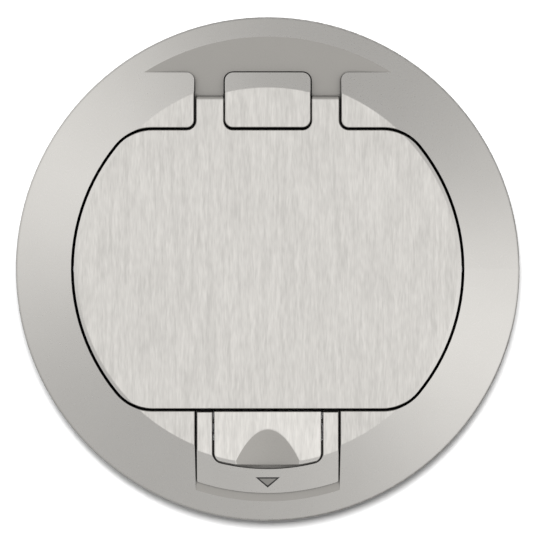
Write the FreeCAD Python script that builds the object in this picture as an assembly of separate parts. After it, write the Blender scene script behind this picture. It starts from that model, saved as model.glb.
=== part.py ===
"""Round through-desk cable access grommet with a hinged lid, a latch slide and a cable flap.

Millimetres. Origin at the centre of the flange's underside (the desk surface), +Z up, +Y towards the hinge.
Each node is written to parts/NODE.step.
"""
import FreeCAD, Part
import math
import os

V = FreeCAD.Vector
X_AXIS, Y_AXIS, Z_AXIS = V(1, 0, 0), V(0, 1, 0), V(0, 0, 1)
ORIGIN = V(0, 0, 0)

# ---- driving dimensions -------------------------------------------------------------------------
FLANGE_R = 92.0          # outside of the trim flange
FLAT_R = 69.2            # where the flat top turns into the cone, on the flange and the lid
BLOCK_FLAT_R = 65.9      # the same crease on the hinge block
LATCH_FLAT_R = 70.6      # the same crease on the latch slide and the cable flap
TOP_Z = 6.5              # flat top above the desk
RIM_T = 1.5              # height of the rim at its edge
RIM_ROUND = 0.5
RECESS_R = 84.7          # where the sunk floors run out into the cone
CONE_SLOPE = (TOP_Z - RIM_T) / (FLANGE_R - FLAT_R)
FLOOR_Z = TOP_Z - CONE_SLOPE * (RECESS_R - FLAT_R)
EDGE_BREAK = 0.22        # small chamfer along the edges that a hand meets

LID_SIDE_R = 70.45       # the lid's two sides are arcs about the origin
LID_TOP_Y = 50.5
LID_BOTTOM_Y = -50.75
LID_CORNER_R = 16.4
LID_GAP = 0.6            # slit between lid and flange at the shelf
LID_SIDE_GAP = 0.8       # the same slit along the two arcs
WALL_DRAFT = 0.1         # the flange's walls lean back by this much per mm of height
LID_UNDER_Z = 3.3
LID_RIB_T = 1.6
LID_RIB_H = 1.5

WELL_SIDE_R = 63.0       # opening inside the shelf that the lid lies over
WELL_TOP_Y = 47.0
WELL_CORNER_R = 12.0

HINGE_Y = 61.4
HINGE_Z = (TOP_Z + LID_UNDER_Z) / 2
HINGE_EYE_R = (TOP_Z - LID_UNDER_Z) / 2
HINGE_ROD_R = 0.9
RUN_CLEAR = 0.05         # radial running clearance on every pivot
ARM_IN_X = 16.05
ARM_OUT_X = 25.95
EAR_X = 26.5             # the flange's ears stand outside the lid's arms
EAR_Y = 71.7             # chord that ends the ears and starts the recess
EAR_CORNER_R = 3.0
BLOCK_X = 15.55
BLOCK_Y = (51.5, 71.5)
BLOCK_CORNER_R = 2.9
BLOCK_UNDER_Z = 1.2      # the block stands in a socket in the floor
BLOCK_SOCKET_GAP = 0.55

LATCH_X = 25.7           # half width of the latch slide
LATCH_POCKET_X = 26.2    # half width of its pocket at the floor
LATCH_INNER_Y = -52.0
LATCH_OUTER_R = 81.6
LATCH_TRAVEL = 3.0
LATCH_UNDER_Z = 3.3
FLAP_X = 19.45
FLAP_INNER_Y = -51.8
FLAP_OUTER_R = 72.05
FLAP_CORNER_R = 3.3
FLAP_GAP = 0.7
FLAP_UNDER_Z = 3.4
FLAP_AXIS_Y = -55.4
FLAP_AXIS_Z = 4.5
FLAP_PIN_R = 0.7
FLAP_PIN_HALF = LATCH_X - 0.6
FLAP_EYE_R = 1.6
FLAP_UNDERCUT = 20.0     # degrees that the flap's outer edge leans in
SWING_REACH = 4.2        # room that the flap's inner end needs as it turns down
OUTLET_X = 17.2          # half width of the cable outlet under the flap
OUTLET_END_Y = -69.4
SCOOP_Y = -58.0          # where the thumb scoop starts
SCOOP_TILT = 9.5         # degrees that the scoop's axis falls
SCOOP_R = 36.5
TONGUE_REACH = 2.0       # how far the latch tongues stand inside the lid
TONGUE_Z = (4.25, 5.15)
TONGUE_HALF_X = 2.25
POST_X = 22.85
POST_Y = -56.0
POST_R = 1.4
ARROW_Y = (-76.0, -79.2)
ARROW_HALF_X = 3.8
ARROW_LINE = 0.25        # half width of the arrow's engraved outline
ARROW_DEPTHS = (0.15, 0.55)

KEEPER_TOP_Z = -0.25     # the keepers hang this far below the flange
KEEPER_T = 1.5
KEEPER_HALF_X = 3.0
KEEPER_Y = (-59.4, -53.6)
KEEPER_TAB_T = 1.0
KEEPER_TAB_END_Z = -4.9
SPRING_END_Y = -67.6
SPRING_R = 1.5
SPRING_WIRE_R = 0.25
SPRING_TURNS = 7
SPRING_Z = -2.8
SPRING_SEAT_HALF_X = 2.6
SPRING_SEAT_T = 2.2
SPRING_SEAT_END_Z = -5.2

SLEEVE_R = 75.0          # collar that centres the sleeve in the hole
SKIRT_R = 74.3           # the slimmer skirt below the collar
COLLAR_H = 12.0
SLEEVE_INNER_R = 72.5
SLEEVE_DEPTH = 50.0
GASKET_R = (77.1, 86.9)
GASKET_T = 1.4
FASTENER_R = 67.0        # circle on which the shelf's screws stand
LUG_ANGLES = (-22.0, 22.0, 158.0, 202.0)
LUG_R = 4.2
LUG_DEPTH = 10.0
BUMPER_XY = (52.8, 41.2)
BUMPER_R = 2.5
BUMPER_SINK = 1.0        # depth of the bumpers' pockets

SHELF_HEAD_R, SHELF_SHANK_R = 3.1, 1.5
SHELF_SCREW_L = 11.0
CLAMP_HEAD_R = 3.9
HEAD_LAND = 0.3          # straight edge of a countersunk head
HEAD_SINK = 0.1          # heads lie this far below the surface around them
BLOCK_HEAD_R, BLOCK_SHANK_R = 2.4, 1.25
BLOCK_HEAD_H = 1.3
BLOCK_SCREW_TIP_Z = 5.0
BLOCK_SCREWS_XY = [(x, y) for x in (-9.0, 9.0) for y in (55.9, 66.5)]
KEEPER_HEAD_R, KEEPER_SHANK_R = 1.7, 0.7
KEEPER_HEAD_H = 1.1
KEEPER_SCREW_L = 5.2

CLAMP_SCREW_R = 2.0
CLAMP_SCREW_END_Z = -48.6
DOG_TOP_Z = -40.0
DOG_T = 5.0
DOG_REACH = 20.0
DOG_HALF_W = 3.2
DOG_REST_ANGLE = 100.0   # folded, from +X
DOG_SLOT_INNER_X = 68.5
DOG_SLOT_Y = (-4.2, 21.8)
DOG_SLOT_Z = (-46.2, -14.0)
DOG_EYE_WALL = 2.0
DOG_THIN = (0.8, 1.2)    # how much the arm is thinner than the eye, above and below
DOG_TIP_L = 5.0          # length of the toothed tip
TOOTH_PITCH = 1.2
TOOTH_DEPTH = 0.5
NUT_COLLAR_R = 3.4
NUT_COLLAR_TOP = 1.6     # how far the collar stands above the dog
NUT_FLANGE_R = 4.6
NUT_FLANGE_T = 2.35
RING_T = 0.8
RING_W = 1.3
RING_SPLIT = 0.8         # half width of the ring's gap


# ---- shape helpers ------------------------------------------------------------------------------
def box(x0, x1, y0, y1, z0, z1):
    return Part.makeBox(x1 - x0, y1 - y0, z1 - z0, V(x0, y0, z0))


def cylinder(radius, z0, z1, x=0.0, y=0.0):
    return Part.makeCylinder(radius, z1 - z0, V(x, y, z0))


def rod(radius, x0, x1, y, z):
    """A cylinder along X."""
    return Part.makeCylinder(radius, x1 - x0, V(x0, y, z), X_AXIS)


def ring(inner_r, outer_r, z0, z1, x=0.0, y=0.0):
    return cylinder(outer_r, z0, z1, x, y).cut(cylinder(inner_r, z0, z1, x, y))


def fused(first, *others):
    return first.fuse(list(others)).removeSplitter()


def mirrored(shape):
    """The shape on the other side of the plane x = 0."""
    return shape.mirror(ORIGIN, X_AXIS)


def both_sides(shape):
    return [shape, mirrored(shape)]


def half_turn(shape):
    """The shape turned 180 degrees about the origin's Z axis."""
    turned = shape.copy()
    turned.rotate(ORIGIN, Z_AXIS, 180)
    return turned


def revolved(points):
    """Solid of revolution about Z from (radius, z) points."""
    corners = [V(r, 0, z) for r, z in points]
    face = Part.Face(Part.makePolygon(corners + corners[:1]))
    return face.revolve(ORIGIN, Z_AXIS, 360)


def prism(edges, z0, z1):
    """Straight solid over a closed outline drawn at z = 0."""
    face = Part.Face(Part.Wire(edges))
    solid = face.extrude(V(0, 0, z1 - z0))
    solid.translate(V(0, 0, z0))
    return solid


def drafted(outline, z0):
    """Space over outline(0) at z0 whose walls lean back up to just above the flat top."""
    z1 = TOP_Z + 0.5
    wires = [Part.Wire(outline(0)), Part.Wire(outline(WALL_DRAFT * (z1 - z0)))]
    for wire, z in zip(wires, (z0, z1)):
        wire.translate(V(0, 0, z))
    return Part.makeLoft(wires, True, True)


def line(a, b):
    return Part.LineSegment(V(*a), V(*b)).toShape()


def arc_about(centre, radius, start, end):
    """Arc between two angles in degrees."""
    def at(angle):
        turn = math.radians(angle)
        return V(centre[0] + radius * math.cos(turn), centre[1] + radius * math.sin(turn), 0)
    return Part.Arc(at(start), at((start + end) / 2), at(end)).toShape()


def cone_z(radius, flat_r=FLAT_R):
    """Height of the cone outside a crease of radius flat_r."""
    return TOP_Z - CONE_SLOPE * (radius - flat_r)


def cap(flat_r, under_z):
    """Body of revolution whose top is the flat disc and the cone."""
    edge_r = FLANGE_R
    return revolved([(0, under_z), (edge_r, under_z), (edge_r, cone_z(edge_r, flat_r)), (flat_r, TOP_Z), (0, TOP_Z)])


def barrel_outline(grow, side_r=LID_SIDE_R, top_y=LID_TOP_Y, bottom_y=LID_BOTTOM_Y, corner_r=LID_CORNER_R):
    """Round-sided, flat-ended outline, grown outwards by grow."""
    side = side_r + grow
    corner = corner_r + grow

    def corner_centre(end_y):
        centre_y = end_y - math.copysign(corner, end_y)
        return math.sqrt((side - corner) ** 2 - centre_y ** 2), centre_y

    top_x, top_cy = corner_centre(top_y + grow)
    low_x, low_cy = corner_centre(bottom_y - grow)
    top_turn = math.degrees(math.atan2(top_cy, top_x))
    low_turn = math.degrees(math.atan2(low_cy, low_x))
    return [
        line((top_x, top_cy + corner, 0), (-top_x, top_cy + corner, 0)),
        arc_about((-top_x, top_cy), corner, 90, 180 - top_turn),
        arc_about((0, 0), side, 180 - top_turn, 180 - low_turn),
        arc_about((-low_x, low_cy), corner, 180 - low_turn, 270),
        line((-low_x, low_cy - corner, 0), (low_x, low_cy - corner, 0)),
        arc_about((low_x, low_cy), corner, 270, 360 + low_turn),
        arc_about((0, 0), side, low_turn, top_turn),
        arc_about((top_x, top_cy), corner, top_turn, 90),
    ]


WELL_SHAPE = (WELL_SIDE_R, WELL_TOP_Y, -WELL_TOP_Y, WELL_CORNER_R)


def spandrel(x, y, radius, z0, z1):
    """The corner piece between a square corner at (x, y) and a round of the radius, towards +x and +y."""
    return box(x, x + radius, y, y + radius, z0, z1).cut(cylinder(radius, z0, z1, x + radius, y + radius))


def tab(half_x, inner_y, outer_r, corner_r, z0, z1):
    """Outline with straight sides, a straight inner end and an arc about the origin as its outer end."""
    centre_x = half_x - corner_r
    centre_y = -math.sqrt((outer_r - corner_r) ** 2 - centre_x ** 2)
    turn = math.degrees(math.atan2(centre_y, centre_x))
    edges = [
        line((-half_x, inner_y, 0), (-half_x, centre_y, 0)),
        arc_about((-centre_x, centre_y), corner_r, 180, 180 - turn),
        arc_about((0, 0), outer_r, 180 - turn, 360 + turn),
        arc_about((centre_x, centre_y), corner_r, turn, 0),
        line((half_x, centre_y, 0), (half_x, inner_y, 0)),
        line((half_x, inner_y, 0), (-half_x, inner_y, 0)),
    ]
    return prism(edges, z0, z1)


def rounded_box(x0, x1, y0, y1, z0, z1, radius):
    """A box with four round upright edges."""
    solid = box(x0, x1, y0, y1, z0, z1)
    upright = [e for e in solid.Edges if abs(e.tangentAt(e.FirstParameter).z) > 0.5]
    return solid.makeFillet(radius, upright)


def edges_broken(solid, wanted, size=EDGE_BREAK):
    """Chamfer each edge whose middle point is wanted."""
    chosen = [e for e in solid.Edges if wanted(e.valueAt((e.FirstParameter + e.LastParameter) / 2))]
    return solid.makeChamfer(size, chosen)


def screw(head_r, shank_r, length, recess_depth, pan_height=0.0):
    """A cross-recessed screw pointing down with its head's top at z = 0, countersunk unless pan_height."""
    if pan_height:
        head = [(0, 0), (head_r * 0.6, 0), (head_r, -pan_height * 0.5), (head_r, -pan_height)]
        neck = [(shank_r, -pan_height)]
    else:
        head = [(0, 0), (head_r, 0), (head_r, -HEAD_LAND)]
        neck = [(shank_r, -HEAD_LAND - head_r + shank_r)]
    tip = [(shank_r, -length + shank_r * 0.4), (shank_r * 0.6, -length), (0, -length)]
    solid = revolved(head + neck + tip)
    blade, reach = head_r * 0.14, head_r * 0.62
    deep = (-recess_depth, 0)
    return solid.cut([box(-reach, reach, -blade, blade, *deep), box(-blade, blade, -reach, reach, *deep)])


def placed(shape, x, y, z, upside_down=False):
    moved = shape.copy()
    if upside_down:
        moved.rotate(ORIGIN, X_AXIS, 180)
    moved.translate(V(x, y, z))
    return moved


def on_circle(radius, angle):
    turn = math.radians(angle)
    return radius * math.cos(turn), radius * math.sin(turn)


# ---- fasteners ----------------------------------------------------------------------------------
def countersink(head_r, shank_r, top_z, clear):
    """Space for a countersunk head and its shank."""
    wide, narrow = head_r + clear, shank_r + clear
    land_z = top_z - HEAD_SINK - HEAD_LAND
    return revolved([(0, top_z + 1), (wide, top_z + 1), (wide, land_z), (narrow, land_z - wide + narrow),
                     (narrow, -1), (0, -1)])


def sleeve_screws():
    one = screw(SHELF_HEAD_R, SHELF_SHANK_R, SHELF_SCREW_L, 1.2)
    return [placed(one, *on_circle(FASTENER_R, a), FLOOR_Z - HEAD_SINK) for a in LUG_ANGLES]


def hinge_block_screws():
    one = screw(BLOCK_HEAD_R, BLOCK_SHANK_R, BLOCK_HEAD_H + BLOCK_SCREW_TIP_Z, 0.8, pan_height=BLOCK_HEAD_H)
    return [placed(one, x, y, -BLOCK_HEAD_H, upside_down=True) for x, y in BLOCK_SCREWS_XY]


# ---- trim flange --------------------------------------------------------------------------------
def flange_dome():
    """The bevelled disc with a small round on its rim."""
    z_in = RIM_T + CONE_SLOPE * RIM_ROUND
    outline = [
        line((0, 0, 0), (FLANGE_R, 0, 0)),
        line((FLANGE_R, 0, 0), (FLANGE_R, 0, RIM_T - RIM_ROUND)),
        Part.Arc(V(FLANGE_R, 0, RIM_T - RIM_ROUND), V(FLANGE_R - 0.14, 0, RIM_T - 0.08),
                 V(FLANGE_R - RIM_ROUND, 0, z_in)).toShape(),
        line((FLANGE_R - RIM_ROUND, 0, z_in), (FLAT_R, 0, TOP_Z)),
        line((FLAT_R, 0, TOP_Z), (0, 0, TOP_Z)),
        line((0, 0, TOP_Z), (0, 0, 0)),
    ]
    return Part.Face(Part.Wire(outline)).revolve(ORIGIN, Z_AXIS, 360)


def hinge_pocket_outline(grow):
    """The neck between the ears, from the window out to the sunk half-moon, with the ears' corners round."""
    side, chord, radius = EAR_X + grow, EAR_Y - grow, EAR_CORNER_R - grow
    centre_x = EAR_X + EAR_CORNER_R
    low_y = LID_TOP_Y + LID_GAP + EAR_CORNER_R
    high_y = EAR_Y - EAR_CORNER_R
    start_y = WELL_TOP_Y + 1
    far_x, far_y = FLANGE_R / 2 + 2, FLANGE_R + 2
    return [
        line((centre_x, start_y, 0), (centre_x, low_y - radius, 0)),
        arc_about((centre_x, low_y), radius, 270, 180),
        line((side, low_y, 0), (side, high_y, 0)),
        arc_about((centre_x, high_y), radius, 180, 90),
        line((centre_x, chord, 0), (far_x, chord, 0)),
        line((far_x, chord, 0), (far_x, far_y, 0)),
        line((far_x, far_y, 0), (-far_x, far_y, 0)),
        line((-far_x, far_y, 0), (-far_x, chord, 0)),
        line((-far_x, chord, 0), (-centre_x, chord, 0)),
        arc_about((-centre_x, high_y), radius, 90, 0),
        line((-side, high_y, 0), (-side, low_y, 0)),
        arc_about((-centre_x, low_y), radius, 0, -90),
        line((-centre_x, low_y - radius, 0), (-centre_x, start_y, 0)),
        line((-centre_x, start_y, 0), (centre_x, start_y, 0)),
    ]


def latch_pocket_outline(grow):
    x, y0, y1 = LATCH_POCKET_X + grow, LID_BOTTOM_Y + 2, -FLANGE_R - 2
    return [line((x, y0, 0), (-x, y0, 0)), line((-x, y0, 0), (-x, y1, 0)), line((-x, y1, 0), (x, y1, 0)),
            line((x, y1, 0), (x, y0, 0))]


def window_outline(grow):
    return barrel_outline(LID_GAP + grow, side_r=LID_SIDE_R + LID_SIDE_GAP - LID_GAP)


def block_socket():
    grow = BLOCK_SOCKET_GAP
    return rounded_box(-BLOCK_X - grow, BLOCK_X + grow, BLOCK_Y[0] - grow, BLOCK_Y[1] + grow, BLOCK_UNDER_Z,
                       FLOOR_Z + 1, BLOCK_CORNER_R + grow)


def egress_cut():
    """The hole under the cable flap, wider where the flap's knuckle swings."""
    swing_x = FLAP_X + FLAP_GAP
    swing = box(-swing_x, swing_x, FLAP_AXIS_Y - SWING_REACH - LATCH_TRAVEL, FLAP_AXIS_Y + SWING_REACH, -1, TOP_Z)
    outlet = rounded_box(-OUTLET_X, OUTLET_X, OUTLET_END_Y, FLAP_AXIS_Y, -1, TOP_Z, 3.0)
    return fused(swing, outlet)


def trim_flange():
    above = TOP_Z + 1
    cuts = [
        drafted(window_outline, FLOOR_Z),
        drafted(hinge_pocket_outline, FLOOR_Z),
        drafted(latch_pocket_outline, FLOOR_Z),
        prism(barrel_outline(0, *WELL_SHAPE), -1, above),
        egress_cut(),
        block_socket(),
        ring(GASKET_R[0], GASKET_R[1], 0, GASKET_T),
    ]
    slot_half = POST_R + 0.15
    slot_y = (POST_Y - LATCH_TRAVEL - slot_half - 0.2, POST_Y + slot_half + 0.2)
    cuts += both_sides(rounded_box(POST_X - slot_half, POST_X + slot_half, *slot_y, -1, above, slot_half * 0.99))
    shelf_hole = countersink(SHELF_HEAD_R, SHELF_SHANK_R, FLOOR_Z, 0.15)
    cuts += [placed(shelf_hole, *on_circle(FASTENER_R, a), 0) for a in LUG_ANGLES]
    clamp_hole = countersink(CLAMP_HEAD_R, CLAMP_SCREW_R, FLOOR_Z, RUN_CLEAR)
    cuts += [placed(clamp_hole, x, 0, 0) for x in (-FASTENER_R, FASTENER_R)]
    cuts += [cylinder(BLOCK_SHANK_R + 0.1, -1, FLOOR_Z + 1, x, y) for x, y in BLOCK_SCREWS_XY]
    x, y = BUMPER_XY
    cuts += [cylinder(BUMPER_R, FLOOR_Z - BUMPER_SINK, above, sx * x, sy * y) for sx in (-1, 1) for sy in (-1, 1)]
    solid = flange_dome().cut(cuts)
    return edges_broken(solid, flange_top_edge)


def flange_top_edge(p):
    """On the window's edge, the ears and the latch pocket, at the level of the flat top."""
    if abs(p.z - TOP_Z) > 1e-3:
        return False
    return math.hypot(p.x, p.y) < FLAT_R - 0.1


def desk_gasket():
    return ring(GASKET_R[0], GASKET_R[1], 0, GASKET_T)


def lid_bumpers():
    x, y = BUMPER_XY
    pads = []
    for sx in (-1, 1):
        for sy in (-1, 1):
            pad = cylinder(BUMPER_R, FLOOR_Z - BUMPER_SINK, LID_UNDER_Z - 0.1, sx * x, sy * y)
            pads.append(edges_broken(pad, lambda p: p.z > FLOOR_Z, 0.15))
    return pads


# ---- sleeve -------------------------------------------------------------------------------------
def dog_slot():
    """Window in the sleeve's right wall that the dog swings out through and climbs in."""
    return box(DOG_SLOT_INNER_X, SLEEVE_R + 1, *DOG_SLOT_Y, *DOG_SLOT_Z)


def sleeve():
    inner_r = SLEEVE_INNER_R
    wall = revolved([(inner_r, 0), (SLEEVE_R, 0), (SLEEVE_R, -COLLAR_H), (SKIRT_R, SKIRT_R - SLEEVE_R - COLLAR_H),
                     (SKIRT_R, 1 - SLEEVE_DEPTH), (SKIRT_R - 1, -SLEEVE_DEPTH), (inner_r, -SLEEVE_DEPTH)])
    lug = fused(cylinder(LUG_R, -LUG_DEPTH, 0, FASTENER_R, 0),
                box(FASTENER_R, inner_r + 1.2, -LUG_R, LUG_R, -LUG_DEPTH, 0))
    lugs = []
    for angle in LUG_ANGLES:
        turned = lug.copy()
        turned.rotate(ORIGIN, Z_AXIS, angle)
        lugs.append(turned)
    seats = both_sides(box(POST_X - SPRING_SEAT_HALF_X, POST_X + SPRING_SEAT_HALF_X, SPRING_END_Y - SPRING_SEAT_T,
                           SPRING_END_Y, SPRING_SEAT_END_Z, 0))
    screw_hole = cylinder(SHELF_SHANK_R, 1 - LUG_DEPTH, 1)
    holes = [placed(screw_hole, *on_circle(FASTENER_R, a), 0) for a in LUG_ANGLES]
    slot = dog_slot()
    return fused(wall, *lugs, *seats).cut(holes + [slot, half_turn(slot)])


# ---- hinge and lid ------------------------------------------------------------------------------
def hinge_block():
    body = rounded_box(-BLOCK_X, BLOCK_X, *BLOCK_Y, BLOCK_UNDER_Z, TOP_Z + 1, BLOCK_CORNER_R)
    body = body.common(cap(BLOCK_FLAT_R, BLOCK_UNDER_Z))
    body = edges_broken(body, lambda p: p.z > TOP_Z - 1e-3 and p.y < BLOCK_FLAT_R - 1)
    screw_hole = cylinder(BLOCK_SHANK_R, BLOCK_UNDER_Z - 1, BLOCK_SCREW_TIP_Z + 0.1)
    cuts = [rod(HINGE_ROD_R, -BLOCK_X - 1, BLOCK_X + 1, HINGE_Y, HINGE_Z)]
    cuts += [placed(screw_hole, x, y, 0) for x, y in BLOCK_SCREWS_XY]
    return body.cut(cuts)


def hinge_rod():
    half = ARM_OUT_X - 0.3
    return edges_broken(rod(HINGE_ROD_R, -half, half, HINGE_Y, HINGE_Z), lambda p: abs(p.x) > half - 0.01, 0.2)


def lid_arm():
    """Right arm of the fork, with a round end about the hinge axis and a fillet on each side of its root."""
    heights = (LID_UNDER_Z, TOP_Z)
    beam = box(ARM_IN_X, ARM_OUT_X, LID_TOP_Y - 2, HINGE_Y, *heights)
    eye = rod(HINGE_EYE_R, ARM_IN_X, ARM_OUT_X, HINGE_Y, HINGE_Z)
    outer_root = spandrel(ARM_OUT_X, LID_TOP_Y, EAR_CORNER_R + EAR_X - ARM_OUT_X, *heights)
    inner_root = spandrel(-ARM_IN_X, LID_TOP_Y, BLOCK_CORNER_R + ARM_IN_X - BLOCK_X, *heights)
    return fused(beam, eye, outer_root, mirrored(inner_root))


def lid_ribs():
    """Stiffening frame under the lid, with two cross ribs."""
    inset = 2.0
    low = LID_UNDER_Z - LID_RIB_H
    inner = prism(barrel_outline(-inset - LID_RIB_T, *WELL_SHAPE), low, LID_UNDER_Z)
    frame = prism(barrel_outline(-inset, *WELL_SHAPE), low, LID_UNDER_Z).cut(inner)
    half_t = LID_RIB_T / 2
    cross_x = WELL_SIDE_R / 3
    bars = [box(x - half_t, x + half_t, -WELL_TOP_Y, WELL_TOP_Y, low, LID_UNDER_Z) for x in (-cross_x, cross_x)]
    bars += [box(-WELL_SIDE_R, WELL_SIDE_R, -half_t, half_t, low, LID_UNDER_Z)]
    return [frame] + [bar.common(inner) for bar in bars]


def lid_top_edge(p):
    """On the lid's outline at the level of the flat top, but not on the round ends of its arms."""
    return p.z > TOP_Z - 1e-3 and math.hypot(p.x, p.y) < FLAT_R - 0.5 and p.y < HINGE_Y - 1


def lid_plate():
    plate = prism(barrel_outline(0), LID_UNDER_Z, TOP_Z + 1).common(cap(FLAT_R, LID_UNDER_Z))
    plate = fused(plate, *both_sides(lid_arm()))
    plate = edges_broken(plate, lid_top_edge)
    pocket = box(POST_X - TONGUE_HALF_X - 0.4, POST_X + TONGUE_HALF_X + 0.4, LID_BOTTOM_Y - 1,
                 LID_BOTTOM_Y + TONGUE_REACH + 0.5, TONGUE_Z[0] - 0.2, TONGUE_Z[1] + 0.2)
    bore = rod(HINGE_ROD_R + RUN_CLEAR, -ARM_OUT_X - 1, ARM_OUT_X + 1, HINGE_Y, HINGE_Z)
    return fused(plate, *lid_ribs()).cut(both_sides(pocket) + [bore])


# ---- latch slide and cable flap -----------------------------------------------------------------
def arrow_cut():
    """Engraved outline of a triangle that points outwards, with a shallower field inside it."""
    def triangle(grow):
        near, far = ARROW_Y[0] + grow, ARROW_Y[1] - grow * 1.5
        half = ARROW_HALF_X + grow * 2.5
        corners = [V(-half, near, 0), V(half, near, 0), V(0, far, 0)]
        field = Part.Face(Part.makePolygon(corners + corners[:1]))
        return field.extrude(V(0, 0, TOP_Z))

    def below_surface(depth):
        lowered = cap(LATCH_FLAT_R, 0)
        lowered.translate(V(0, 0, -depth))
        return lowered
    outline = triangle(ARROW_LINE).cut(triangle(-ARROW_LINE)).cut(below_surface(ARROW_DEPTHS[1]))
    field = triangle(0.0).cut(below_surface(ARROW_DEPTHS[0]))
    return [outline, field]


def latch_tongue():
    """Right tongue, chamfered on top, that reaches into the lid's edge."""
    y_end = LID_BOTTOM_Y + TONGUE_REACH
    tongue = box(POST_X - TONGUE_HALF_X, POST_X + TONGUE_HALF_X, LATCH_INNER_Y - 1, y_end, *TONGUE_Z)
    nose = [e for e in tongue.Edges if e.CenterOfMass.y > y_end - 0.01 and e.CenterOfMass.z > TONGUE_Z[1] - 0.01]
    return tongue.makeChamfer(0.4, nose)


def slide_latch():
    body = tab(LATCH_X, LATCH_INNER_Y, LATCH_OUTER_R, 0.8, LATCH_UNDER_Z, TOP_Z + 1)
    body = body.cut(tab(FLAP_X + FLAP_GAP, LATCH_INNER_Y + 1, FLAP_OUTER_R + FLAP_GAP, FLAP_CORNER_R + FLAP_GAP,
                        LATCH_UNDER_Z - 1, TOP_Z + 2))
    body = body.common(cap(LATCH_FLAT_R, LATCH_UNDER_Z))
    body = edges_broken(body, lambda p: p.z > TOP_Z - 1e-3 and math.hypot(p.x, p.y) < LATCH_FLAT_R - 1)
    post = cylinder(POST_R, KEEPER_TOP_Z, LATCH_UNDER_Z + 0.5, POST_X, POST_Y)
    body = fused(body, *both_sides(latch_tongue()), *both_sides(post))
    cuts = arrow_cut()
    cuts.append(rod(FLAP_PIN_R, -FLAP_PIN_HALF, FLAP_PIN_HALF, FLAP_AXIS_Y, FLAP_AXIS_Z))
    cuts += both_sides(cylinder(KEEPER_SHANK_R, KEEPER_TOP_Z - 1, 2.6, POST_X, POST_Y))
    return body.cut(cuts)


def thumb_scoop():
    """Shallow trough that deepens towards the flap's outer edge."""
    trough = Part.makeCylinder(SCOOP_R, 30, V(0, 0, 0), V(0, -1, 0))
    trough.rotate(ORIGIN, X_AXIS, SCOOP_TILT)
    trough.translate(V(0, SCOOP_Y, TOP_Z + SCOOP_R / math.cos(math.radians(SCOOP_TILT))))
    return trough.common(box(-20, 20, -90, SCOOP_Y + 1, 0, TOP_Z + 1))


def flap_undercut():
    """The wedge that leans the flap's outer edge in towards its underside."""
    fall = math.tan(math.radians(FLAP_UNDERCUT))
    height = TOP_Z + 1 - FLAP_UNDER_Z
    low_r = FLAP_OUTER_R - (TOP_Z - FLAP_UNDER_Z) * fall
    return revolved([(low_r, FLAP_UNDER_Z), (low_r + height * fall, TOP_Z + 1), (FLANGE_R, TOP_Z + 1),
                     (FLANGE_R, FLAP_UNDER_Z)])


def cable_flap():
    body = tab(FLAP_X, FLAP_INNER_Y, FLAP_OUTER_R, FLAP_CORNER_R, FLAP_UNDER_Z, TOP_Z + 1)
    body = body.common(cap(LATCH_FLAT_R, FLAP_UNDER_Z))
    body = edges_broken(body, lambda p: p.z > TOP_Z - 1e-3 and math.hypot(p.x, p.y) < LATCH_FLAT_R - 1)
    body = body.cut([flap_undercut(), thumb_scoop()])
    knuckle = rod(FLAP_EYE_R, -FLAP_X, FLAP_X, FLAP_AXIS_Y, FLAP_AXIS_Z)
    bore = rod(FLAP_PIN_R + RUN_CLEAR, -FLAP_X - 1, FLAP_X + 1, FLAP_AXIS_Y, FLAP_AXIS_Z)
    return fused(body, knuckle).cut(bore)


def flap_pin():
    return rod(FLAP_PIN_R, -FLAP_PIN_HALF, FLAP_PIN_HALF, FLAP_AXIS_Y, FLAP_AXIS_Z)


# ---- latch keepers and springs ------------------------------------------------------------------
def keeper():
    """Right keeper: a plate under the flange's floor with a tab for the spring."""
    across = (POST_X - KEEPER_HALF_X, POST_X + KEEPER_HALF_X)
    plate = box(*across, *KEEPER_Y, KEEPER_TOP_Z - KEEPER_T, KEEPER_TOP_Z)
    tab_plate = box(*across, KEEPER_Y[0], KEEPER_Y[0] + KEEPER_TAB_T, KEEPER_TAB_END_Z, KEEPER_TOP_Z)
    hole = cylinder(KEEPER_SHANK_R, -6, 1, POST_X, POST_Y)
    return fused(plate, tab_plate).cut(hole)


def keeper_screws():
    one = screw(KEEPER_HEAD_R, KEEPER_SHANK_R, KEEPER_SCREW_L, 0.6, pan_height=KEEPER_HEAD_H)
    top = KEEPER_TOP_Z - KEEPER_T - KEEPER_HEAD_H
    return both_sides(placed(one, POST_X, POST_Y, top, upside_down=True))


def latch_spring():
    """Right coil spring between the sleeve's seat and the keeper's tab."""
    length = KEEPER_Y[0] - SPRING_END_Y - 2 * SPRING_WIRE_R
    helix = Part.makeHelix(length / SPRING_TURNS, length, SPRING_R - SPRING_WIRE_R)
    start = V(SPRING_R - SPRING_WIRE_R, 0, 0)
    profile = Part.Wire(Part.Circle(start, Y_AXIS, SPRING_WIRE_R).toShape())
    coil = Part.Wire(helix.Edges).makePipeShell([profile], True, True)
    coil.rotate(ORIGIN, X_AXIS, -90)
    coil.translate(V(POST_X, SPRING_END_Y + SPRING_WIRE_R, SPRING_Z))
    return coil


# ---- desk clamps --------------------------------------------------------------------------------
def clamp_screw():
    one = screw(CLAMP_HEAD_R, CLAMP_SCREW_R, FLOOR_Z - HEAD_SINK - CLAMP_SCREW_END_Z, 1.6)
    return placed(one, FASTENER_R, 0, FLOOR_Z - HEAD_SINK)


def clamp_nut():
    """Threaded bush with a flange that carries the dog."""
    bore_r = CLAMP_SCREW_R + RUN_CLEAR
    flange_z = DOG_TOP_Z - DOG_T - RUN_CLEAR
    top_z = DOG_TOP_Z + NUT_COLLAR_TOP
    bush = revolved([(bore_r, flange_z - NUT_FLANGE_T), (NUT_FLANGE_R, flange_z - NUT_FLANGE_T),
                     (NUT_FLANGE_R, flange_z), (NUT_COLLAR_R, flange_z), (NUT_COLLAR_R, top_z), (bore_r, top_z)])
    bush.translate(V(FASTENER_R, 0, 0))
    return bush


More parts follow.
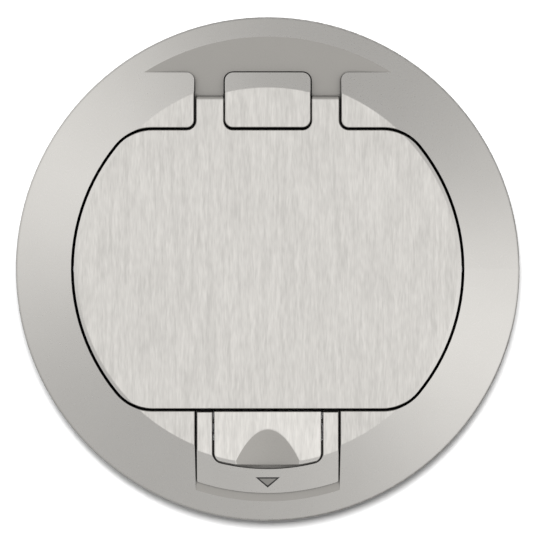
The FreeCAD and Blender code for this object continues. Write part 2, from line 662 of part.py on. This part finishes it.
def clamp_ring():
    """Retaining ring above the dog, split at one side."""
    low, high = DOG_TOP_Z + RUN_CLEAR, DOG_TOP_Z + RUN_CLEAR + RING_T
    solid = ring(NUT_COLLAR_R, NUT_COLLAR_R + RING_W, low, high, FASTENER_R, 0)
    return solid.cut(box(FASTENER_R - NUT_FLANGE_R - 1, FASTENER_R, -RING_SPLIT, RING_SPLIT, low, high))


def clamp_dog():
    """Arm with an eye at the screw and a toothed tip, folded along the sleeve's wall."""
    low = DOG_TOP_Z - DOG_T
    eye_r = NUT_COLLAR_R + DOG_EYE_WALL
    wide = DOG_HALF_W + 1
    neck_x = eye_r + 1.5
    eye = cylinder(eye_r, low, DOG_TOP_Z)
    arm = box(0, DOG_REACH, -DOG_HALF_W, DOG_HALF_W, low, DOG_TOP_Z)
    relief = box(neck_x, DOG_REACH - DOG_TIP_L, -wide, wide, DOG_TOP_Z - DOG_THIN[0], DOG_TOP_Z + 1)
    thinned = box(neck_x, DOG_REACH + 1, -wide, wide, low - 1, low + DOG_THIN[1])
    teeth = []
    for count in (1, 2, 3):
        x = DOG_REACH - count * TOOTH_PITCH
        corners = [V(x - TOOTH_PITCH / 3, -wide, DOG_TOP_Z), V(x + TOOTH_PITCH / 3, -wide, DOG_TOP_Z),
                   V(x, -wide, DOG_TOP_Z - TOOTH_DEPTH)]
        teeth.append(Part.Face(Part.makePolygon(corners + corners[:1])).extrude(V(0, 2 * wide, 0)))
    hole = cylinder(NUT_COLLAR_R + RUN_CLEAR, low - 1, DOG_TOP_Z + 1)
    dog = fused(eye, arm).cut([relief, thinned, hole] + teeth)
    dog.rotate(ORIGIN, Z_AXIS, DOG_REST_ANGLE)
    dog.translate(V(FASTENER_R, 0, 0))
    return dog


# ---- nodes --------------------------------------------------------------------------------------
def nodes():
    made = {
        "trim_flange": trim_flange(),
        "desk_gasket": desk_gasket(),
        "sleeve": sleeve(),
        "sleeve_screws": sleeve_screws(),
        "lid_bumpers": lid_bumpers(),
        "hinge_block": hinge_block(),
        "hinge_block_screws": hinge_block_screws(),
        "hinge_rod": hinge_rod(),
        "lid_plate": lid_plate(),
        "slide_latch": slide_latch(),
        "keeper_right": keeper(),
        "keeper_left": mirrored(keeper()),
        "keeper_screws": keeper_screws(),
        "latch_spring_right": latch_spring(),
        "latch_spring_left": mirrored(latch_spring()),
        "flap_pin": flap_pin(),
        "cable_flap": cable_flap(),
    }
    for name, maker in (("screw", clamp_screw), ("nut", clamp_nut), ("ring", clamp_ring), ("dog", clamp_dog)):
        made[f"clamp_{name}_right"] = maker()
        made[f"clamp_{name}_left"] = half_turn(maker())
    return made


def write(name, shapes):
    """Write one node as a STEP file of its closed solids."""
    shapes = shapes if isinstance(shapes, list) else [shapes]
    solids = [solid for shape in shapes for solid in shape.Solids]
    node = solids[0] if len(solids) == 1 else Part.makeCompound(solids)
    node.exportStep(f"parts/{name}.step")
    volume = sum(solid.Volume for solid in solids)
    print(f"{name}: {len(solids)} solids, {volume:.1f} mm3, valid {all(s.isValid() for s in solids)}")


os.makedirs("parts", exist_ok=True)
for node_name, node_shapes in nodes().items():
    write(node_name, node_shapes)
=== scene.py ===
"""Looks of the desk grommet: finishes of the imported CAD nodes, studio light, floor and camera.

Metres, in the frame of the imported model: +Z up out of the desk, +Y towards the lid's hinge.
"""
import math

import bpy
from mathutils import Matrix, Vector


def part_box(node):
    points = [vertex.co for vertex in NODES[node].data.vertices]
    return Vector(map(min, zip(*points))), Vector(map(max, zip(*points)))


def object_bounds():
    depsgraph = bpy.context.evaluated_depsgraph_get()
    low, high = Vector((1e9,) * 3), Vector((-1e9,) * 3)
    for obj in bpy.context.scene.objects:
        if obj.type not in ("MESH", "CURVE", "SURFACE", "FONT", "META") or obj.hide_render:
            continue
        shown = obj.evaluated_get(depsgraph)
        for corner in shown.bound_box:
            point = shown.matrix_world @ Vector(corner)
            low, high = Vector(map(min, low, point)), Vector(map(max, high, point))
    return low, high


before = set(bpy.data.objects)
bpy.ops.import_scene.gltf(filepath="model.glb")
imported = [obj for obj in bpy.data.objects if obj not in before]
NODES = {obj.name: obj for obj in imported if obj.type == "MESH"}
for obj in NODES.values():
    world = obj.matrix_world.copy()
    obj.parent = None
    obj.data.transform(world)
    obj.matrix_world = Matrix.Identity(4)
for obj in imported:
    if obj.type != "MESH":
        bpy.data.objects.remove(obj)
CAD_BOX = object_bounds()

MM = 0.001
TOP_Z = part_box("lid_plate")[1].z
RIM_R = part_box("trim_flange")[1].x
BUMPER_SUNK = 1.0 * MM                                   # the bumpers stand this deep in the shelf
SHELF_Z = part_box("lid_bumpers")[0].z + BUMPER_SUNK
LID_LOW, LID_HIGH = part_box("lid_plate")
LATCH_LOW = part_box("slide_latch")[0]
BEVEL_SLOPE = 0.2193                                     # fall of the bevel towards the rim
RIM_EDGE_Z = 1.5 * MM                                    # height of the bevel at the rim
FLAT_TOLERANCE = 0.03 * MM


def crease_radius(node):
    """Radius at which a node's flat top turns into its bevel."""
    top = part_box(node)[1].z
    points = [v.co for v in NODES[node].data.vertices if v.co.z > top - 0.01 * MM]
    return max(math.hypot(p.x, p.y) for p in points)


# ---- node helpers -------------------------------------------------------------------------------
class Graph:
    """Short-hand for building one material's node tree."""

    def __init__(self, name):
        self.material = bpy.data.materials.new(name)
        self.material.use_nodes = True
        self.tree = self.material.node_tree
        self.shader = self.tree.nodes["Principled BSDF"]
        coordinates = self.node("ShaderNodeTexCoord").outputs
        self.place = coordinates["Object"]
        self.facing = coordinates["Normal"]

    def node(self, kind, **settings):
        made = self.tree.nodes.new(kind)
        for key, value in settings.items():
            setattr(made, key, value)
        return made

    def feed(self, socket, value):
        if isinstance(value, bpy.types.NodeSocket):
            self.tree.links.new(value, socket)
        else:
            socket.default_value = value

    def math(self, operation, a, b=0.0):
        made = self.node("ShaderNodeMath", operation=operation)
        self.feed(made.inputs[0], a)
        self.feed(made.inputs[1], b)
        return made.outputs[0]

    def ramp(self, value, low, high, to_low=0.0, to_high=1.0):
        """The value's range from low to high spread over to_low to to_high, clamped."""
        made = self.node("ShaderNodeMapRange", clamp=True)
        for socket, number in zip(made.inputs, (value, low, high, to_low, to_high)):
            self.feed(socket, number)
        return made.outputs[0]

    def scaled(self, x, y, z):
        """Object coordinates times a number per axis."""
        made = self.node("ShaderNodeVectorMath", operation="MULTIPLY")
        self.feed(made.inputs[0], self.place)
        self.feed(made.inputs[1], (x, y, z))
        return made.outputs[0]

    def noise(self, grain, detail=3.0, roughness=0.55, stretch=(1, 1, 1)):
        """Noise with features about grain metres wide, each axis stretched by a factor."""
        made = self.node("ShaderNodeTexNoise")
        self.feed(made.inputs["Vector"], self.scaled(*[1 / (grain * s) for s in stretch]))
        self.feed(made.inputs["Scale"], 1.0)
        self.feed(made.inputs["Detail"], detail)
        self.feed(made.inputs["Roughness"], roughness)
        return made.outputs["Fac"]

    def mix(self, amount, a, b):
        """Colour from a to b as amount goes from 0 to 1."""
        made = self.node("ShaderNodeMix", data_type="RGBA", clamp_factor=True)
        self.feed(made.inputs["Factor"], amount)
        self.feed(made.inputs["A"], a)
        self.feed(made.inputs["B"], b)
        return made.outputs["Result"]

    def blend(self, amount, a, b):
        """Number from a to b as amount goes from 0 to 1."""
        made = self.node("ShaderNodeMix", data_type="FLOAT", clamp_factor=True)
        self.feed(made.inputs["Factor"], amount)
        self.feed(made.inputs["A"], a)
        self.feed(made.inputs["B"], b)
        return made.outputs["Result"]

    def bump(self, height, depth):
        """Bump from a height of 0 to 1 that stands for depth metres."""
        made = self.node("ShaderNodeBump")
        made.inputs["Distance"].default_value = depth
        self.feed(made.inputs["Height"], height)
        self.feed(self.shader.inputs["Normal"], made.outputs["Normal"])

    def openness(self, reach):
        """1 on an open face, less in a corner or slit within reach metres."""
        made = self.node("ShaderNodeAmbientOcclusion", samples=8)
        self.feed(made.inputs["Distance"], reach)
        return made.outputs["AO"]

    def parts_of(self, vector):
        """x, y and z of a vector."""
        made = self.node("ShaderNodeSeparateXYZ")
        self.feed(made.inputs[0], vector)
        return made.outputs

    def distance_from(self, x, y):
        """Distance from an upright line at (x, y)."""
        flat = self.node("ShaderNodeVectorMath", operation="MULTIPLY_ADD")
        self.feed(flat.inputs[0], self.place)
        self.feed(flat.inputs[1], (1.0, 1.0, 0.0))
        self.feed(flat.inputs[2], (-x, -y, 0.0))
        length = self.node("ShaderNodeVectorMath", operation="LENGTH")
        self.feed(length.inputs[0], flat.outputs[0])
        return length.outputs["Value"]


def grey(level, warmth=0.0):
    """A linear grey, made warmer by a small number."""
    return (level * (1 + warmth), level, level * (1 - warmth * 1.6), 1.0)


def shades(graph, value, colour, spread):
    """The colour made darker and lighter by a share, with a value from 0 to 1."""
    dark = [c * (1 - spread) for c in colour[:3]] + [1.0]
    light = [c * (1 + spread) for c in colour[:3]] + [1.0]
    return graph.mix(value, dark, light)


# ---- metals -------------------------------------------------------------------------------------
# Tone of each brushed piece against the flange.
BRUSHED_NODES = {
    "trim_flange": 1.0,
    "lid_plate": 1.0,
    "hinge_block": 1.0,
    "slide_latch": 1.08,
    "cable_flap": 1.14,
}
BRUSHED = grey(0.690, 0.024)
SATIN = grey(0.645, 0.022)
CAST = grey(0.455, 0.030)
WORN = grey(0.52, 0.03)
# Painted shade: upright walls inside the rim are darkened so the gaps read dark.
PAINTED_WALL_SHADE = grey(0.085)
# Painted shade for the shelf and the latch's tongues seen through the gaps.
PAINTED_GAP_SHADE = grey(0.020)
ARROW_INK = grey(0.10)
# Painted shade in corners, beside walls and down slits.
PAINTED_CORNER_SHADE = grey(0.012)
# Painted shade: a dark line along the rim's outer edge.
PAINTED_RIM_SHADE = grey(0.06)
FINE_STREAK = (0.55 * MM, (1, 7, 7))                     # width, and how many times longer along the brushing
LONG_STREAK = (1.30 * MM, (1, 13, 13))
GRAIN = 0.35 * MM
PATCH = 14 * MM
CORNER_REACH = 1.6 * MM                                  # how far painted shade reaches out from a wall or into a slit
EDGE_WIDTH = 0.9 * MM                                    # width of the line of painted shade along the rim's outer edge
SKIN_DEPTH = 0.006 * MM                                  # height of the brushing and of the cast grain
ARROW_Y = LATCH_LOW.y + 5.6 * MM                         # the arrow's inner edge on the latch


def toned(colour, tone):
    return [c * tone for c in colour[:3]]


def brushed_parts(graph, crease, tone):
    """Colour, roughness, height and depth below the skin of a part.

    It is brushed on top, satin on its bevel and cast where it is sunk; painted shade darkens its upright
    walls, its corners and slits and the rim's outer edge.
    """
    z = graph.parts_of(graph.place)[2]
    radius = graph.distance_from(0.0, 0.0)
    fall = graph.math("MULTIPLY", radius, BEVEL_SLOPE)
    bevel_z = graph.math("SUBTRACT", TOP_Z + BEVEL_SLOPE * crease, fall)
    depth = graph.math("SUBTRACT", graph.math("MINIMUM", bevel_z, TOP_Z), z)
    on_flat = graph.ramp(z, TOP_Z - 2 * FLAT_TOLERANCE, TOP_Z - FLAT_TOLERANCE)
    up = graph.parts_of(graph.facing)[2]
    below_top = graph.math("LESS_THAN", z, TOP_Z - 0.1 * MM)
    level_floor = graph.math("MULTIPLY", graph.ramp(up, 0.985, 0.992), below_top)
    sunk = graph.math("MAXIMUM", level_floor, graph.ramp(depth, 0.05 * MM, 0.08 * MM))
    # Painted shade on upright walls inside the rim, which fall dark in the gaps.
    upright = graph.ramp(graph.math("ABSOLUTE", up), 0.35, 0.60, 1.0, 0.0)
    side = graph.math("MULTIPLY", upright, graph.math("LESS_THAN", radius, RIM_R - 3 * MM))

    fine = graph.noise(FINE_STREAK[0], 1.0, 0.5, FINE_STREAK[1])
    long = graph.noise(LONG_STREAK[0], 2.0, 0.5, LONG_STREAK[1])
    patch = graph.noise(PATCH, 2.0, 0.5)
    grain = graph.noise(GRAIN, 2.0, 0.5)
    streak = graph.ramp(graph.blend(0.5, fine, long), 0.34, 0.66)

    brushed = shades(graph, streak, toned(BRUSHED, tone), 0.080)
    satin = shades(graph, grain, toned(SATIN, tone), 0.022)
    cast = shades(graph, graph.ramp(grain, 0.3, 0.7), toned(CAST, tone), 0.060)
    # Painted shade where the occlusion node finds a wall or slit nearby.
    corner = graph.ramp(graph.openness(CORNER_REACH), 0.30, 0.72, 1.0, 0.0)
    # Painted shade along the rim's outer edge.
    rim_shade = graph.ramp(radius, RIM_R - EDGE_WIDTH, RIM_R, 0.0, 0.45)
    colour = graph.mix(sunk, graph.mix(on_flat, satin, brushed), cast)
    colour = graph.mix(graph.ramp(patch, 0.35, 0.75, 0.0, 0.10), colour, WORN)
    colour = graph.mix(side, colour, shades(graph, grain, PAINTED_WALL_SHADE, 0.2))
    colour = graph.mix(corner, colour, PAINTED_CORNER_SHADE)
    colour = graph.mix(rim_shade, colour, PAINTED_RIM_SHADE)

    brushed_rough = graph.ramp(streak, 0.0, 1.0, 0.40, 0.32)
    satin_rough = graph.ramp(grain, 0.3, 0.7, 0.27, 0.31)
    cast_rough = graph.ramp(grain, 0.3, 0.7, 0.50, 0.60)
    rough = graph.blend(sunk, graph.blend(on_flat, satin_rough, brushed_rough), cast_rough)

    satin_height = graph.math("MULTIPLY", grain, 0.05)
    height = graph.blend(sunk, graph.blend(on_flat, satin_height, streak), grain)
    return colour, rough, height, depth


def faced_metal(node, tone):
    """Metal of one of the pieces that show from above."""
    graph = Graph(node + "_finish_and_painted_shade")
    colour, rough, height, depth = brushed_parts(graph, crease_radius(node), tone)
    # Painted shade: where the gaps would be in shadow, the shelf and the latch's tongues are painted near
    # black and made dull.
    if node in GAP_SHADED_NODES:
        gap_shade = GAP_SHADED_NODES[node](graph, depth)
        colour = graph.mix(gap_shade, colour, PAINTED_GAP_SHADE)
        rough = graph.blend(gap_shade, rough, 0.85)
    if node == "slide_latch":
        colour = graph.mix(arrow_ink(graph, depth), colour, ARROW_INK)
    graph.feed(graph.shader.inputs["Base Color"], colour)
    graph.feed(graph.shader.inputs["Roughness"], rough)
    graph.feed(graph.shader.inputs["Metallic"], 1.0)
    graph.bump(height, SKIN_DEPTH)
    return graph.material


def shelf_gap_shade(graph, _depth):
    """1 on the shelf and the well's walls below the lid, painted near black as shade under the lid's gaps,
    and 0 elsewhere.
    """
    _x, y, z = graph.parts_of(graph.place)
    margin = 0.9 * MM                                    # the lid's gap and a little of the wall beyond it
    side_r = LID_HIGH.x + margin
    top_y = -LID_LOW.y + margin
    low = graph.ramp(z, SHELF_Z + 0.2 * MM, SHELF_Z + 0.35 * MM, 1.0, 0.0)
    within_r = graph.ramp(graph.distance_from(0.0, 0.0), side_r, side_r + 0.1 * MM, 1.0, 0.0)
    within_y = graph.ramp(graph.math("ABSOLUTE", y), top_y, top_y + 0.1 * MM, 1.0, 0.0)
    return graph.math("MULTIPLY", low, graph.math("MULTIPLY", within_r, within_y))


def tongue_gap_shade(graph, depth):
    """1 on the latch's tongues and the lower part of its body, painted near black as shade in the latch's
    gaps.
    """
    return graph.ramp(depth, 0.8 * MM, 1.0 * MM)


def arrow_ink(graph, depth):
    """0 on the latch's surface, some in the arrow's shallow field and 1 in its deeper outline."""
    y = graph.parts_of(graph.place)[1]
    near = graph.ramp(y, ARROW_Y + 0.5 * MM, ARROW_Y + 0.6 * MM, 1.0, 0.0)
    field = graph.ramp(depth, 0.06 * MM, 0.12 * MM, 0.0, 0.32)
    line = graph.ramp(depth, 0.25 * MM, 0.40 * MM, 0.0, 0.60)
    return graph.math("MULTIPLY", near, graph.math("ADD", field, line))


# Pieces whose gap floors get painted shade, with the mask of each.
GAP_SHADED_NODES = {"trim_flange": shelf_gap_shade, "slide_latch": tongue_gap_shade}


RING_WIDTH = 0.09 * MM                                   # width of one turning mark


def plated_steel(name, colour, turned_about=None):
    """Bright plating with fine scratches, and turning rings about an upright axis where one is given."""
    graph = Graph(name)
    cloud = graph.noise(2.2 * MM, 3.0, 0.6)
    scratch = graph.noise(0.25 * MM, 4.0, 0.65, (1, 1, 6))
    graph.feed(graph.shader.inputs["Base Color"], shades(graph, graph.ramp(cloud, 0.3, 0.7), colour, 0.12))
    graph.feed(graph.shader.inputs["Roughness"], graph.ramp(scratch, 0.3, 0.7, 0.24, 0.42))
    graph.feed(graph.shader.inputs["Metallic"], 1.0)
    height = scratch
    if turned_about:
        rings = graph.math("PINGPONG", graph.distance_from(*turned_about), RING_WIDTH)
        height = graph.math("ADD", graph.math("MULTIPLY", rings, 1 / RING_WIDTH), scratch)
    graph.bump(height, 0.01 * MM)
    return graph.material


def cast_zinc(name):
    """Tumbled die-cast zinc: dull, pitted, with brighter high spots."""
    graph = Graph(name)
    grain = graph.noise(0.45 * MM, 5.0, 0.65)
    cloud = graph.noise(3.5 * MM, 2.0, 0.5)
    colour = graph.mix(graph.ramp(grain, 0.35, 0.7), grey(0.30), grey(0.46, -0.01))
    polish = graph.ramp(cloud, 0.4, 0.8, 0, 0.35)
    graph.feed(graph.shader.inputs["Base Color"], graph.mix(polish, colour, grey(0.58)))
    graph.feed(graph.shader.inputs["Roughness"], graph.ramp(grain, 0.3, 0.7, 0.62, 0.42))
    graph.feed(graph.shader.inputs["Metallic"], 1.0)
    graph.bump(grain, 0.05 * MM)
    return graph.material


# ---- plastics and rubbers -----------------------------------------------------------------------
def moulded_plastic(name):
    """Dark grey moulding with a fine spark texture and faint flow marks down its wall."""
    graph = Graph(name)
    spark = graph.noise(0.35 * MM, 4.0, 0.7)
    flow = graph.noise(5.0 * MM, 3.0, 0.5, (1, 1, 7))
    worn = graph.ramp(flow, 0.45, 0.75, 0.0, 0.6)
    colour = graph.mix(graph.ramp(spark, 0.3, 0.7), (0.030, 0.031, 0.033, 1), (0.046, 0.047, 0.050, 1))
    graph.feed(graph.shader.inputs["Base Color"], graph.mix(worn, colour, (0.060, 0.061, 0.064, 1)))
    graph.feed(graph.shader.inputs["Roughness"], graph.ramp(spark, 0.3, 0.7, 0.52, 0.66))
    graph.bump(spark, 0.05 * MM)
    return graph.material


def foam(name):
    """Black closed-cell foam with open cells on its cut faces."""
    graph = Graph(name)
    cells = graph.node("ShaderNodeTexVoronoi", feature="F1")
    graph.feed(cells.inputs["Vector"], graph.scaled(*[1 / (0.55 * MM)] * 3))
    graph.feed(cells.inputs["Scale"], 1.0)
    pores = graph.ramp(cells.outputs["Distance"], 0.1, 0.6)
    colour = graph.mix(pores, (0.012, 0.012, 0.013, 1), (0.040, 0.040, 0.042, 1))
    graph.feed(graph.shader.inputs["Base Color"], colour)
    graph.feed(graph.shader.inputs["Roughness"], graph.ramp(pores, 0.0, 1.0, 0.95, 0.80))
    graph.bump(pores, 0.15 * MM)
    return graph.material


def soft_rubber(name):
    """Black rubber with a dusty bloom."""
    graph = Graph(name)
    bloom = graph.noise(0.9 * MM, 4.0, 0.6)
    grain = graph.noise(0.12 * MM, 3.0, 0.6)
    graph.feed(graph.shader.inputs["Base Color"],
               graph.mix(graph.ramp(bloom, 0.4, 0.8), (0.016, 0.016, 0.016, 1), (0.035, 0.034, 0.033, 1)))
    graph.feed(graph.shader.inputs["Roughness"], graph.ramp(bloom, 0.3, 0.7, 0.60, 0.82))
    graph.bump(grain, 0.02 * MM)
    return graph.material


def dress(node, material):
    """Give every material slot of a CAD node the material."""
    slots = NODES[node].material_slots
    for slot in slots:
        slot.material = material
    if not slots:
        NODES[node].data.materials.append(material)


def centre_of(node):
    """x and y of the middle of a CAD node."""
    low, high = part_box(node)
    return (low.x + high.x) / 2, (low.y + high.y) / 2


def dress_all():
    """Give every CAD node its finish."""
    for node, tone in BRUSHED_NODES.items():
        dress(node, faced_metal(node, tone))
    dress("desk_gasket", foam("gasket_foam"))
    dress("sleeve", moulded_plastic("sleeve_moulding"))
    dress("lid_bumpers", soft_rubber("bumper_rubber"))
    screw_plate = plated_steel("screw_plating", (0.60, 0.61, 0.63, 1))
    for node in ("sleeve_screws", "hinge_block_screws", "keeper_screws"):
        dress(node, screw_plate)
    pin_steel = plated_steel("blackened_pin_steel", (0.050, 0.048, 0.046, 1))
    for node in ("hinge_rod", "flap_pin"):
        dress(node, pin_steel)
    zinc = cast_zinc("dog_casting")
    for side in ("right", "left"):
        dress(f"keeper_{side}", plated_steel(f"keeper_plating_{side}", (0.50, 0.50, 0.52, 1)))
        dress(f"latch_spring_{side}", plated_steel(f"spring_wire_{side}", (0.36, 0.36, 0.37, 1)))
        axis = centre_of(f"clamp_screw_{side}")
        dress(f"clamp_screw_{side}", plated_steel(f"clamp_screw_plating_{side}", (0.60, 0.61, 0.63, 1), axis))
        dress(f"clamp_ring_{side}", plated_steel(f"clamp_ring_steel_{side}", (0.34, 0.34, 0.35, 1), axis))
        dress(f"clamp_nut_{side}", plated_steel(f"clamp_nut_brass_{side}", (0.66, 0.46, 0.20, 1), axis))
        dress(f"clamp_dog_{side}", zinc)


# ---- studio -------------------------------------------------------------------------------------
def floor():
    """Pale floor that the sleeve stands on."""
    half = 3.0
    low = CAD_BOX[0].z
    corners = [(-half, -half, low), (half, -half, low), (half, half, low), (-half, half, low)]
    mesh = bpy.data.meshes.new("floor")
    mesh.from_pydata(corners, [], [(0, 1, 2, 3)])
    made = bpy.data.objects.new("floor", mesh)
    bpy.context.scene.collection.objects.link(made)
    graph = Graph("floor_paper")
    fibre = graph.noise(1.5 * MM, 3.0, 0.6)
    graph.feed(graph.shader.inputs["Base Color"], graph.mix(fibre, grey(0.90), grey(0.93)))
    graph.shader.inputs["Roughness"].default_value = 0.9
    graph.shader.inputs["Specular IOR Level"].default_value = 0.1
    mesh.materials.append(graph.material)


def area_light(name, azimuth, elevation, distance, size, power):
    """A square soft light that looks at the object from a direction in degrees."""
    data = bpy.data.lights.new(name, "AREA")
    data.size = size
    data.energy = power
    made = bpy.data.objects.new(name, data)
    turn, rise = math.radians(azimuth), math.radians(elevation)
    direction = Vector((math.cos(turn) * math.cos(rise), math.sin(turn) * math.cos(rise), math.sin(rise)))
    made.location = direction * distance
    made.rotation_euler = (-direction).to_track_quat("-Z", "Y").to_euler()
    bpy.context.scene.collection.objects.link(made)
    return made


SKY_BASE = 0.58
SKY_ZENITH = 1.10
ZENITH_EDGE = (82.0, 68.0)                               # elevations where the bright zenith fades out
LOBE_FOOT = (25.0, 50.0)                                 # elevations where a raised side light fades in
# Broad side lights: azimuth in degrees, strength (less than 0 darkens), sharpness, and whether each one
# reaches down to the horizon.
SKY_LOBES = ((154.0, 0.60, 10.0, True), (-17.0, 0.72, 10.0, False), (66.0, -0.05, 5.0, True))
SKY_DIFFUSE = 0.38                                       # share of the sky that lights dull surfaces


def sky():
    """Soft room light, bright overhead with two broad brighter sides. The camera sees plain white."""
    world = bpy.data.worlds.new("studio")
    bpy.context.scene.world = world
    world.use_nodes = True
    tree = world.node_tree
    nodes, links = tree.nodes, tree.links

    def calc(operation, *values):
        made = nodes.new("ShaderNodeMath")
        made.operation = operation
        for socket, value in zip(made.inputs, values):
            if isinstance(value, bpy.types.NodeSocket):
                links.new(value, socket)
            else:
                socket.default_value = value
        return made.outputs[0]

    def spread(value, low, high, kind):
        made = nodes.new("ShaderNodeMapRange")
        made.interpolation_type = kind
        links.new(value, made.inputs["Value"])
        made.inputs["From Min"].default_value = low
        made.inputs["From Max"].default_value = high
        return made.outputs["Result"]

    split = nodes.new("ShaderNodeSeparateXYZ")
    links.new(nodes.new("ShaderNodeTexCoord").outputs["Generated"], split.inputs[0])
    x, y, z = split.outputs
    level = calc("SQRT", calc("ADD", calc("ADD", calc("MULTIPLY", x, x), calc("MULTIPLY", y, y)), 1e-6))
    total = SKY_BASE
    high = spread(z, math.sin(math.radians(LOBE_FOOT[0])), math.sin(math.radians(LOBE_FOOT[1])), "LINEAR")
    for azimuth, strength, sharpness, reaches_down in SKY_LOBES:
        turn = math.radians(azimuth)
        along = calc("ADD", calc("MULTIPLY", x, math.cos(turn)), calc("MULTIPLY", y, math.sin(turn)))
        facing = calc("MULTIPLY_ADD", calc("DIVIDE", along, level), 0.5, 0.5)
        lobe = calc("MULTIPLY", calc("POWER", facing, sharpness), strength)
        if not reaches_down:
            lobe = calc("MULTIPLY", lobe, high)
        total = calc("ADD", total, lobe)
    near, far = (math.cos(math.radians(elevation)) for elevation in ZENITH_EDGE)
    away = spread(level, near, far, "SMOOTHSTEP")
    side_part = calc("MULTIPLY", total, away)
    top_part = calc("MULTIPLY", calc("SUBTRACT", 1.0, away), SKY_ZENITH)
    strength = calc("ADD", side_part, top_part)
    path = nodes.new("ShaderNodeLightPath").outputs
    dull = calc("MULTIPLY", path["Is Diffuse Ray"], SKY_DIFFUSE - 1)
    strength = calc("MULTIPLY", strength, calc("ADD", dull, 1.0))
    seen = path["Is Camera Ray"]
    shown = calc("ADD", seen, calc("MULTIPLY", calc("SUBTRACT", 1.0, seen), strength))
    links.new(shown, nodes["Background"].inputs["Strength"])
    nodes["Background"].inputs["Color"].default_value = (1.0, 0.995, 0.985, 1.0)


def key_light():
    """Light for the floor's shadow. The metal shows the sky instead, so it isn't seen in gloss."""
    key = area_light("key", azimuth=95.0, elevation=87.0, distance=1.1, size=0.08, power=16.0)
    key.visible_glossy = False


CAMERA_HEIGHT = 1.05
CAMERA_OFFSET = (0.84 * MM, -0.37 * MM)
FLANGE_SHARE = 504 / 540                                 # the flange's part of the picture's width


def camera():
    """Straight above the object, a little off its axis."""
    data = bpy.data.cameras.new("camera")
    made = bpy.data.objects.new("camera", data)
    bpy.context.scene.collection.objects.link(made)
    frame_width = RIM_R * 2 / FLANGE_SHARE
    data.lens = data.sensor_width * (CAMERA_HEIGHT - RIM_EDGE_Z) / frame_width
    made.location = (*CAMERA_OFFSET, CAMERA_HEIGHT)
    bpy.context.scene.camera = made


dress_all()
floor()
sky()
key_light()
camera()
bpy.context.scene.view_settings.view_transform = "Standard"
